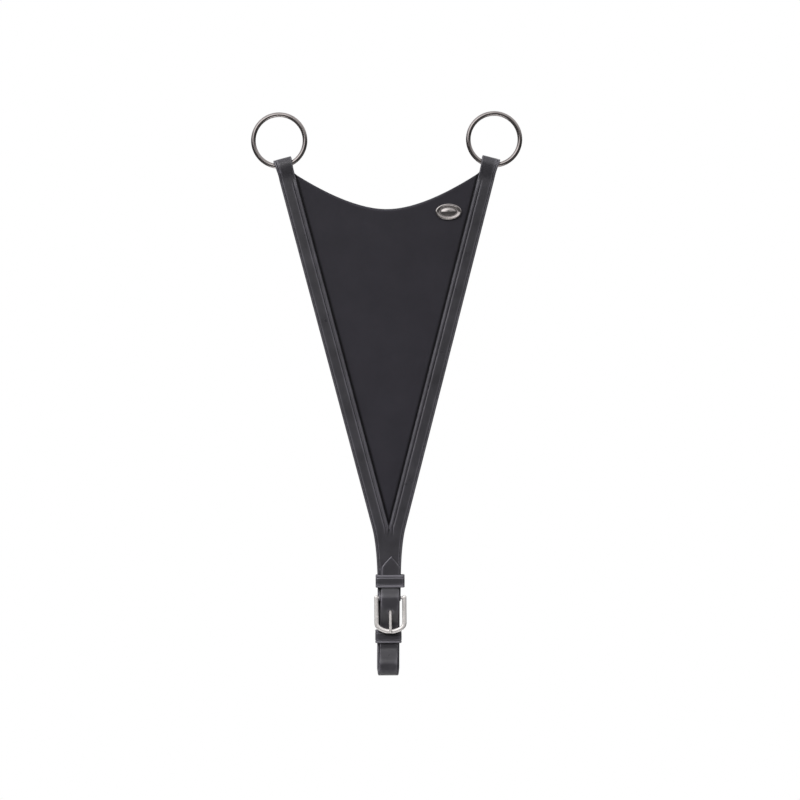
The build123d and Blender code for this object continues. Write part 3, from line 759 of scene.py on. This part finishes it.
def band_section(half, thick, crease=CREASE_AT, creased=1.0):
    """A flat strap's closed section: rounded edges and a creased line along both outer edges."""
    r = min(0.8 * MM, thick * 0.42, half * 0.8)
    squeeze = min(1.0, half / (2.2 * (crease + CREASE_HALF)))
    lines = [crease + k * CREASE_HALF for k in CREASE_STEPS]
    lines = [(d, dip(d, crease)) for d in lines]
    left = [(-half + max(r, d * squeeze), thick / 2 - creased * h) for d, h in lines]
    right = [(-x, h) for x, h in reversed(left)]
    gap = right[0][0] - left[-1][0]
    middle = [(left[-1][0] + gap * k / 8, thick / 2) for k in range(1, 8)]
    back = [(mix(half - r, r - half, k / 8), -thick / 2) for k in range(1, 8)]
    loop = quarter((r - half, thick / 2 - r), r, pi)[:-1] + left + middle + right
    loop += quarter((half - r, thick / 2 - r), r, pi / 2)[1:]
    loop += quarter((half - r, r - thick / 2), r, 0) + back
    return loop + quarter((r - half, r - thick / 2), r, -pi / 2)[:-1]


def oval_section(half, thick, count=20):
    """A closed oval section, a little squarer than an ellipse."""
    loop = []
    for i in range(count):
        a = -2 * pi * i / count  # clockwise, as the other sections run
        x = abs(cos(a)) ** 0.8 * (1 if cos(a) >= 0 else -1)
        y = abs(sin(a)) ** 0.8 * (1 if sin(a) >= 0 else -1)
        loop.append((half * x, thick / 2 * y))
    return loop


def sweep(name, stations, section, material, closed=False):
    """A strap or bar through stations of (centre, across, normal, half width, thickness)."""
    rows = []
    for centre, across, normal, half, thick in stations:
        rows.append([centre + across * x + normal * h for x, h in section(half, thick)])
    shell = Shell()
    shell.loops(rows, closed=closed)
    return new_object(name, shell, material)


def side_line(points):
    """(forward, z) points to (point, normal) pairs; the normal is left of the way along."""
    pairs = []
    for i, at in enumerate(points):
        before = points[max(0, i - 1)]
        after = points[min(len(points) - 1, i + 1)]
        run = (after - before).normalized()
        pairs.append((at, Vector((0, run.y, run.x))))
    return pairs


def billet_forward(z):
    """How far forward the billet's middle lies at a height."""
    bends = ((BILLET_TIP, TAIL_OUT), (HEEL.z + 9 * MM, TAIL_OUT), (HEEL.z, CREST_OUT),
             (HEEL.z - 6 * MM, CREST_OUT), (HEEL.z - 23 * MM, LOOSE_OUT), (18 * MM, LOOSE_OUT),
             (4 * MM, 2 * LOOP_R))
    for (high, a), (low, b) in zip(bends, bends[1:]):
        if z >= low:
            return mix(b, a, smooth((z - low) / (high - low)))
    return bends[-1][1]


def tip_half(z):
    """The billet's half width: parallel, then drawn in to a point."""
    left = (BILLET_TIP - z) / TIP_TAPER
    return BILLET_HALF * (1.0 if left >= 1 else max(0.06, 1 - (1 - left) ** 1.25))


def prong_way():
    """(forward, z) points down the prong's middle, from its eye to its tip."""
    low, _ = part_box("buckle_prong")
    root = Vector((PANEL_Y - HEEL.y + HEEL_R + PLAY + EYE_THICK / 2, HEEL.z))
    tip = Vector((PANEL_Y - low.y - 0.95 * MM, low.z + 0.3 * MM))
    way = []
    for i in range(1, 41):
        t = i / 40
        at = mix(root, tip, t)
        at.x += 0.35 * MM * sin(pi * t) - 0.5 * MM * max(0.0, t - 0.9) / 0.1
        way.append(at)
    return way


def build_lower_strap():
    """Up the back, round the bottom loop and up the front, in one length."""
    line = []
    for i in range(41):
        z = STRAP_TOP * (1 - i / 40)
        line.append((Vector((0, z)), LOOP_SHIFT * (1 - z / STRAP_TOP), STRAP_HALF))
    for i in range(1, 25):
        a = pi * i / 24
        at = Vector((LOOP_R * (1 - cos(a)), -LOOP_R * sin(a)))
        line.append((at, mix(LOOP_SHIFT, BILLET_LOW_X, i / 24),
                     mix(STRAP_HALF, BILLET_HALF, i / 24)))
    for i in range(1, 131):
        z = BILLET_TIP * i / 130
        line.append((Vector((billet_forward(z), z)),
                     mix(BILLET_LOW_X, BILLET_HIGH_X, z / BILLET_TIP), tip_half(z)))
    stations = []
    for (at, normal), (_, x, half) in zip(side_line([p for p, _, _ in line]), line):
        stations.append((place(x, at.x, at.y), ACROSS, normal, half, STRAP))
    strap = sweep("loop_and_billet", stations, band_section, STRAP_LEATHER)
    # the hole in use, drawn out by the prong
    stations = []
    for at, normal in side_line(prong_way()[3:]):
        room = LIFT * (HEEL.z - at.y)
        thick = PRONG_THICK + 2 * HOLE_SPARE + room
        stations.append((place(HEEL.x, at.x + room / 2, at.y), ACROSS, -normal, HOLE_R, thick))
    boolean(strap, sweep("hole_cutter", stations, oval_section, STRAP_LEATHER), "DIFFERENCE")
    keep_edges_crisp(strap, 45)
    finish_piece(strap, "bib", "strap_leather", "lower_strap")


def build_chape():
    """The fold of leather that holds the buckle."""
    heel_out = PANEL_Y - HEEL.y
    bend_r = HEEL_R + PLAY + CHAPE / 2
    back_out = heel_out - bend_r
    front_out = STRAP / 2 + 0.1 * MM + 1.5 * CHAPE
    end = STEM_END - 0.2 * MM
    line = [Vector((back_out, mix(end, HEEL.z, i / 12))) for i in range(12)]
    line += [Vector((heel_out - bend_r * cos(pi * i / 16), HEEL.z - bend_r * sin(pi * i / 16)))
             for i in range(17)]
    line += [Vector((mix(heel_out + bend_r, front_out, smooth(i / 10)),
                     HEEL.z + CHAPE_REACH * i / 10)) for i in range(1, 11)]
    line += [Vector((front_out, mix(HEEL.z + CHAPE_REACH, end, i / 6))) for i in range(1, 7)]
    stations = [(place(HEEL.x / 2, at.x, at.y), ACROSS, -normal, STRAP_HALF - 0.2 * MM, CHAPE)
                for at, normal in side_line(line)]
    chape = sweep("buckle_fold", stations,
                  lambda half, thick: band_section(half, thick, 1.2 * MM, 0.5), STRAP_LEATHER)
    slot = Shell()
    slot_half = EYE_WIDE / 2 + SLOT_SIDE
    low = HEEL.z - bend_r - CHAPE - 1.5 * MM
    high = HEEL.z + SLOT_UP
    slot.loops([[place(HEEL.x + x, out, z) for x, z in
                 ((-slot_half, low), (slot_half, low), (slot_half, high), (-slot_half, high))]
                for out in (back_out - CHAPE, 12 * MM)])
    boolean(chape, new_object("slot_cutter", slot, STRAP_LEATHER), "DIFFERENCE")
    keep_edges_crisp(chape, 45)
    finish_piece(chape, "bib", "strap_leather", "buckle_chape")


def build_keeper(name, cad_node, body, crease):
    """A leather loop round the strap, from its CAD node's box."""
    low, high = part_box(cad_node)
    mid = (low + high) / 2
    half_x = (high.x - low.x) / 2 - KEEPER / 2
    half_y = (high.y - low.y) / 2 - KEEPER / 2
    side_x = 2 * (half_x - KEEPER_ROUND)
    side_y = 2 * (half_y - KEEPER_ROUND)
    around = []
    for cx, cy, start, side in ((-1, 1, pi, side_x), (1, 1, pi / 2, side_y),
                                (1, -1, 0, side_x), (-1, -1, -pi / 2, side_y)):
        centre = Vector((cx * side_x / 2, cy * side_y / 2, 0))
        for i in range(9):
            a = start - i / 8 * pi / 2
            normal = Vector((cos(a), sin(a), 0))
            around.append((centre + normal * KEEPER_ROUND, normal))
        # the straight side that follows, a little bowed
        corner_end = around[-1][0]
        onward = Vector((normal.y, -normal.x, 0))
        for i in range(1, 8):
            bow = KEEPER_BOW * sin(pi * i / 8)
            around.append((corner_end + onward * side * i / 8 + normal * bow, normal))
    up = Vector((0, 0, 1))
    stations = [(mid + at, up, normal, (high.z - low.z) / 2, KEEPER) for at, normal in around]
    keeper = sweep(name, stations, lambda half, thick: band_section(half, thick, crease),
                   STRAP_LEATHER, closed=True)
    finish_piece(keeper, body, "strap_leather", cad_node)


# --- steel --------------------------------------------------------------------------------
def build_ring(side):
    """One ring, turned as a fine torus."""
    centre = Vector((side * RING_AT.x, RING_AT.y, RING_AT.z))
    rows = []
    for a in turns(192):
        out = Vector((cos(a), 0, sin(a)))
        rows.append([centre + out * (RING_R + WIRE_R * cos(b)) + Vector((0, WIRE_R * sin(b), 0))
                     for b in turns(28)])
    shell = Shell()
    shell.loops(rows, closed=True)
    name = "right" if side > 0 else "left"
    ring = new_object(f"wire_ring_{name}", shell, STEEL)
    finish_piece(ring, f"{name}_ring", "steel", f"ring_{name}")


def on_buckle(x, v, out=0.0):
    """A point in the buckle's leaning plane: across, up from the heel bar, forward of it."""
    return HEEL + Vector((x, v * sin(TILT) - out * cos(TILT), v * cos(TILT) + out * sin(TILT)))


def build_buckle():
    """A D of rounded bar, flatter at its sides, with a plain heel bar."""
    side = 11.85 * MM
    bar_half = 1.85 * MM
    top = 2.2 * MM
    end_round = 1.6 * MM
    straight = -21.0 * MM
    corner_low = -24.2 * MM
    bottom = -28.6 * MM
    arc_r = 17.0 * MM
    corner_end = radians(31)  # round the far bar's arc, from its lowest point

    def on_arc(a):
        return Vector((-arc_r * sin(a), bottom + arc_r * (1 - cos(a))))

    start = top - 0.02 * MM
    half_line = [Vector((-side, mix(start, straight, (i / 20) ** 1.3))) for i in range(21)]
    corner = [Vector((-side, straight)), Vector((-side, corner_low)), on_arc(corner_end)]
    half_line += [bezier(corner, i / 14) for i in range(1, 15)]
    half_line += [on_arc(corner_end * (1 - i / 14)) for i in range(1, 15)]
    line = half_line + [Vector((-p.x, p.y)) for p in reversed(half_line[:-1])]
    front = (on_buckle(0, 0, 1) - on_buckle(0, 0, 0)).normalized()
    stations = []
    for i, at in enumerate(line):
        before = line[max(0, i - 1)]
        after = line[min(len(line) - 1, i + 1)]
        run = (after - before).normalized()
        outward = Vector((run.y, -run.x))  # right of the way round: out of the D
        across = (on_buckle(outward.x, outward.y) - HEEL).normalized()
        from_end = min(1.0, (top - at.y) / end_round)
        share = max(0.12, sqrt(1 - (1 - from_end) ** 2))
        stations.append((on_buckle(at.x, at.y), across, front,
                         bar_half * share, FRAME_THICK * share))
    frame_piece = sweep("buckle_d", stations, oval_section, BUCKLE_STEEL)
    bar = Shell()
    bar.loops([[HEEL + Vector((x, HEEL_R * cos(a), HEEL_R * sin(a)))
                for a in turns(28)] for x in (-side, -side / 3, side / 3, side)])
    boolean(frame_piece, new_object("heel_bar", bar, BUCKLE_STEEL), "UNION")
    keep_edges_crisp(frame_piece, 50)
    finish_piece(frame_piece, "buckle", "steel", "buckle_frame")


def build_prong():
    """A flattened eye round the heel bar, then a tapered prong down over the far bar."""
    heel_out = PANEL_Y - HEEL.y
    eye_r = HEEL_R + PLAY + EYE_THICK / 2
    line = []
    for i in range(31):
        a = radians(300) * (1 - i / 30)
        line.append((Vector((heel_out + eye_r * cos(a), HEEL.z + eye_r * sin(a))),
                     EYE_WIDE / 2, EYE_THICK))
    for i, at in enumerate(prong_way()):
        t = (i + 1) / 40
        grow = smooth(t / 0.18)
        half = mix(EYE_WIDE / 2, PRONG_HALF, grow) * (1 - 0.12 * t)
        thick = mix(EYE_THICK, PRONG_THICK, grow) * (1 - 0.08 * t)
        if t > 0.94:
            blunt = sqrt(max(0.0, 1 - ((t - 0.94) / 0.06) ** 2))
            half *= max(0.2, blunt)
            thick *= max(0.2, blunt)
        line.append((at, half, thick))
    stations = []
    for (at, normal), (_, half, thick) in zip(side_line([p for p, _, _ in line]), line):
        stations.append((place(HEEL.x, at.x, at.y), ACROSS, -normal, half, thick))
    prong = sweep("prong", stations, oval_section, BUCKLE_STEEL)
    finish_piece(prong, "prong", "steel", "buckle_prong")


def build_badge():
    """A plain oval badge with a rolled rim, beads and a smooth boss, and legs through the bib."""
    low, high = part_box("badge_body")
    mid = (low + high) / 2
    long_half = (high.x - low.x) / 2
    short_half = (high.z - low.z) / 2
    profile = [(0.99, 0.0), (1.0, 0.12), (1.0, 0.55), (0.985, 0.85), (0.95, 1.05),
               (0.90, 1.1), (0.855, 1.02), (0.825, 0.8), (0.81, 0.55), (0.78, 0.45), (0.56, 0.45),
               (0.53, 0.5), (0.50, 0.66), (0.42, 0.86), (0.30, 1.0), (0.15, 1.08), (0.02, 1.1)]
    shell = Shell()
    rows = []
    for share, rise in profile:
        narrow = share - 0.21 * (1 - share)  # the rim stays evenly wide round the oval
        rows.append([place(mid.x + long_half * share * cos(a), BADGE_FOOT + rise * MM,
                           mid.z + short_half * narrow * sin(a)) for a in turns(72)])
    shell.loops(rows)
    for a in turns(BADGE_BEADS):
        at = place(mid.x + long_half * 0.68 * cos(a), BADGE_FOOT + 0.45 * MM,
                   mid.z + short_half * 0.61 * sin(a))
        add_dome(shell, at, FORWARD, 0.42 * MM)
    leg_ends = (BADGE_FOOT + 0.2 * MM, -MIDDLE - 0.6 * MM, -MIDDLE - 0.95 * MM)
    for side in (-1, 1):
        x = mid.x + side * BADGE_LEG_AT
        shell.loops([[place(x + BADGE_LEG_R * cos(a), out, mid.z + BADGE_LEG_R * sin(a))
                      for a in turns(16)] for out in leg_ends])
    badge = new_object("oval_badge", shell, BADGE_STEEL)
    keep_edges_crisp(badge, 60)
    finish_piece(badge, "bib", "steel", "badge_body")


def add_dome(shell, at, normal, radius):
    """A small half ball on a surface."""
    side = normal.orthogonal().normalized()
    other = normal.cross(side)
    rows = []
    for rise in (-0.3, 0.0, 0.45, 0.8, 0.97):
        around = sqrt(max(0.0, 1 - rise**2)) * radius
        rows.append([at + normal * rise * radius + (side * cos(a) + other * sin(a)) * around
                     for a in turns(10)])
    shell.loops(rows)


# --- stitching ----------------------------------------------------------------------------
def add_stitch(shell, at, run, normal, length, radius=STITCH_R):
    """One stitch: a short thick thread that dives at both ends."""
    side = run.cross(normal)
    rows = []
    for share, swell in ((-0.5, 0.25), (-0.42, 0.75), (-0.25, 1.0),
                         (0.25, 1.0), (0.42, 0.75), (0.5, 0.25)):
        middle = at + run * share * length - normal * (abs(share) * 2) ** 4 * radius * 0.9
        rows.append([middle + (side * cos(a) + normal * sin(a)) * radius * swell
                     for a in turns(8)])
    shell.loops(rows)


def stitch_rows(shell, rows, distance, height, from_inner=False):
    """Stitches along a strip's rows, at a distance from an edge and a height on its face."""
    track = []
    for row in rows:
        d = row.width - distance if from_inner else distance
        track.append((row.outer + row.across * d + row.normal * height, row.normal))
    travelled = 0.0
    next_at = STITCH_PITCH / 2
    for (a, normal), (b, _) in zip(track, track[1:]):
        step = (b - a).length
        while next_at <= travelled + step:
            at = mix(a, b, (next_at - travelled) / step)
            run = (b - a).normalized()
            slant = run.cross(normal) * STITCH_SLANT
            add_stitch(shell, at, (run + slant).normalized(), normal, STITCH_PITCH * 0.74)
            next_at += STITCH_PITCH
        travelled += step


def build_stitching():
    """Thread along the arms and the stem, front and back."""
    front = arm_rows(-FOLD_LENGTH - 3 * MM, MIDDLE, FORWARD, FRONT, STEM_END + 1.5 * MM, 1.0)
    back = arm_rows(-TURN_BACK_END + 1 * MM, -MIDDLE, -FORWARD, BACK, BACKING_END + 1.5 * MM, 0.0)
    back_to_apex = [row for row in back if row.inner_edge > 0.5]
    front_to_apex = [row for row in front if row.inner_edge > 0.5]
    turned = [Row(place(*o), place(*i), -FORWARD, TURNED) for o, i in turned_back_edges()]
    shell = Shell()
    stitch_rows(shell, front, CREASE_AT, FRONT - STITCH_SINK)
    stitch_rows(shell, front_to_apex, BEAD_WIDE + BEAD_GAP, FRONT - 0.2 * MM, from_inner=True)
    stitch_rows(shell, back[4:], CREASE_AT, BACK - STITCH_SINK)
    stitch_rows(shell, back_to_apex[4:], CREASE_AT, BACK - EDGE_SINK, from_inner=True)
    stitch_rows(shell, turned, CREASE_AT, TURNED - STITCH_SINK)
    stitch_rows(shell, turned, CREASE_AT, TURNED - EDGE_SINK, from_inner=True)
    # a tack across the apex takes the strain
    for k in range(3):
        at = place(0, MIDDLE + FRONT + 0.05 * MM, APEX - (2.2 + 0.75 * k) * MM)
        add_stitch(shell, at, ACROSS, FORWARD, 2.2 * MM, STITCH_R * 1.1)
    shell.mirrored()
    thread = new_object("stitching", shell, THREAD)
    finish_piece(thread, "bib", "thread")


def turned_back_edges():
    """Outer and inner edge points, as (x, forward, z), down the turned-back end of an arm."""
    for i in range(12):
        along = mix(-FOLD_LENGTH - 3 * MM, -TURN_BACK_END + 9 * MM, i / 11)
        outer = on_arm(along, ARM / 2)
        inner = on_arm(along, -ARM / 2)
        yield (outer.x, -MIDDLE, outer.y), (inner.x, -MIDDLE, inner.y)


def dress_washers():
    """The washers behind the bib keep their CAD shape."""
    washers = frame["nodes"]["badge_washers"]
    washers.data.materials.clear()
    washers.data.materials.append(BADGE_STEEL)


build_yoke()
build_bib()
build_lower_strap()
build_chape()
build_keeper("fixed_keeper", "upper_keeper", "bib", 3.4 * MM)
build_keeper("loose_keeper", "lower_keeper", "sliding_keeper", 1.9 * MM)
build_stitching()
build_ring(1)
build_ring(-1)
build_buckle()
build_prong()
build_badge()
dress_washers()


# --- stage --------------------------------------------------------------------------------
def build_stage():
    """A pale round floor that fades away towards its rim."""
    low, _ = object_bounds()
    z = low[2] - FLOOR_DROP
    shell = Shell()
    shell.loops([[Vector((FLOOR_R * cos(a), FLOOR_R * sin(a), z + h)) for a in turns(96)]
                 for h in (-FLOOR_THICK, 0)])
    material, tree, bsdf = shader("floor_white")
    link = tree.links.new
    bsdf.inputs["Roughness"].default_value = 0.9
    at = object_place(tree)
    mottle = noise(tree, at, 9.0, 3.0)
    link(ramp(tree, mottle.outputs["Fac"], [(0.3, grey(0.78)), (0.7, grey(0.82))]),
         bsdf.inputs["Base Color"])
    level = node(tree, "ShaderNodeVectorMath", operation="MULTIPLY")
    link(at, level.inputs[0])
    level.inputs[1].default_value = (1, 1, 0)
    reach = node(tree, "ShaderNodeVectorMath", operation="LENGTH")
    link(level.outputs["Vector"], reach.inputs[0])
    link(map_range(tree, reach.outputs["Value"], FLOOR_R * 0.25, FLOOR_R * 0.95, 1.0, 0.0,
                   interpolation_type="SMOOTHSTEP"), bsdf.inputs["Alpha"])
    floor = new_object("floor", shell, material)
    floor.visible_diffuse = False


def lamp(name, kind, at, aim, power, reflected=False):
    """A lamp turned to a place. It returns the lamp's data, which take its size."""
    light = bpy.data.lights.new(name, kind)
    light.energy = power
    obj = bpy.data.objects.new(name, light)
    obj.location = at
    obj.rotation_euler = (Vector(aim) - Vector(at)).to_track_quat("-Z", "Y").to_euler()
    obj.visible_glossy = reflected
    bpy.context.scene.collection.objects.link(obj)
    return light


def area_light(name, at, size, power, height=0.2, reflected=False):
    """A soft box turned to the object's middle line at a height."""
    light = lamp(name, "AREA", at, (0, 0, height), power, reflected)
    light.shape = "RECTANGLE"
    light.size, light.size_y = size


def build_light():
    """A world that is white to the camera, and else bright above, dark at eye level and dull below.

    The lamps are soft, and only the sheen light shows in reflections."""
    world = bpy.data.worlds.new("studio")
    bpy.context.scene.world = world
    world.use_nodes = True
    tree = world.node_tree
    tree.nodes.clear()
    link = tree.links.new
    out = node(tree, "ShaderNodeOutputWorld")
    seen = node(tree, "ShaderNodeBackground", Color=(1, 1, 1, 1), Strength=1.0)
    around = node(tree, "ShaderNodeBackground", Strength=1.0)
    direction = node(tree, "ShaderNodeTexCoord").outputs["Generated"]
    split = node(tree, "ShaderNodeSeparateXYZ")
    link(direction, split.inputs["Vector"])
    up = map_range(tree, split.outputs["Z"], -1.0, 1.0)
    bands = [(0.0, grey(0.10)), (0.36, grey(0.08)), (0.46, grey(0.05)), (0.56, grey(0.08)),
             (0.72, grey(0.50)), (1.0, grey(0.65))]
    link(ramp(tree, up, bands), around.inputs["Color"])
    path = node(tree, "ShaderNodeLightPath")
    both = node(tree, "ShaderNodeMixShader")
    link(path.outputs["Is Camera Ray"], both.inputs["Fac"])
    link(around.outputs["Background"], both.inputs[1])
    link(seen.outputs["Background"], both.inputs[2])
    link(both.outputs["Shader"], out.inputs["Surface"])
    area_light("key", (-0.9, -1.1, 1.5), (2.0, 1.6), 36.0)
    area_light("fill", (1.0, -1.1, 1.0), (1.3, 1.0), 9.0)
    area_light("sheen", (-0.6, -1.3, 1.1), (1.4, 1.2), 4.5, reflected=True)
    area_light("back", (0, 1.3, 0.9), (1.4, 1.2), 16.0, height=0.25)
    spot = lamp("low_spot", "SPOT", (-0.45, -1.0, 0.95), (0, 0, 0.04), 55.0)
    spot.spot_size = radians(27)
    spot.spot_blend = 1.0
    spot.shadow_soft_size = 0.2


def build_camera():
    """The photograph's view: straight on, a long lens, rolled a little."""
    seen_wide = 682.0 * MM  # across the picture, at the leather
    lens = 100.0
    sensor = 36.0
    distance = seen_wide * lens / sensor
    camera = bpy.data.cameras.new("camera")
    camera.lens = lens
    camera.sensor_width = sensor
    obj = bpy.data.objects.new("camera", camera)
    obj.location = (10.1 * MM, PANEL_Y - distance, 228.2 * MM)
    obj.rotation_euler = Euler((radians(90), radians(0.33), 0), "XYZ")
    bpy.context.scene.collection.objects.link(obj)
    bpy.context.scene.camera = obj


build_stage()
build_light()
build_camera()
bpy.context.scene.view_settings.view_transform = "Standard"
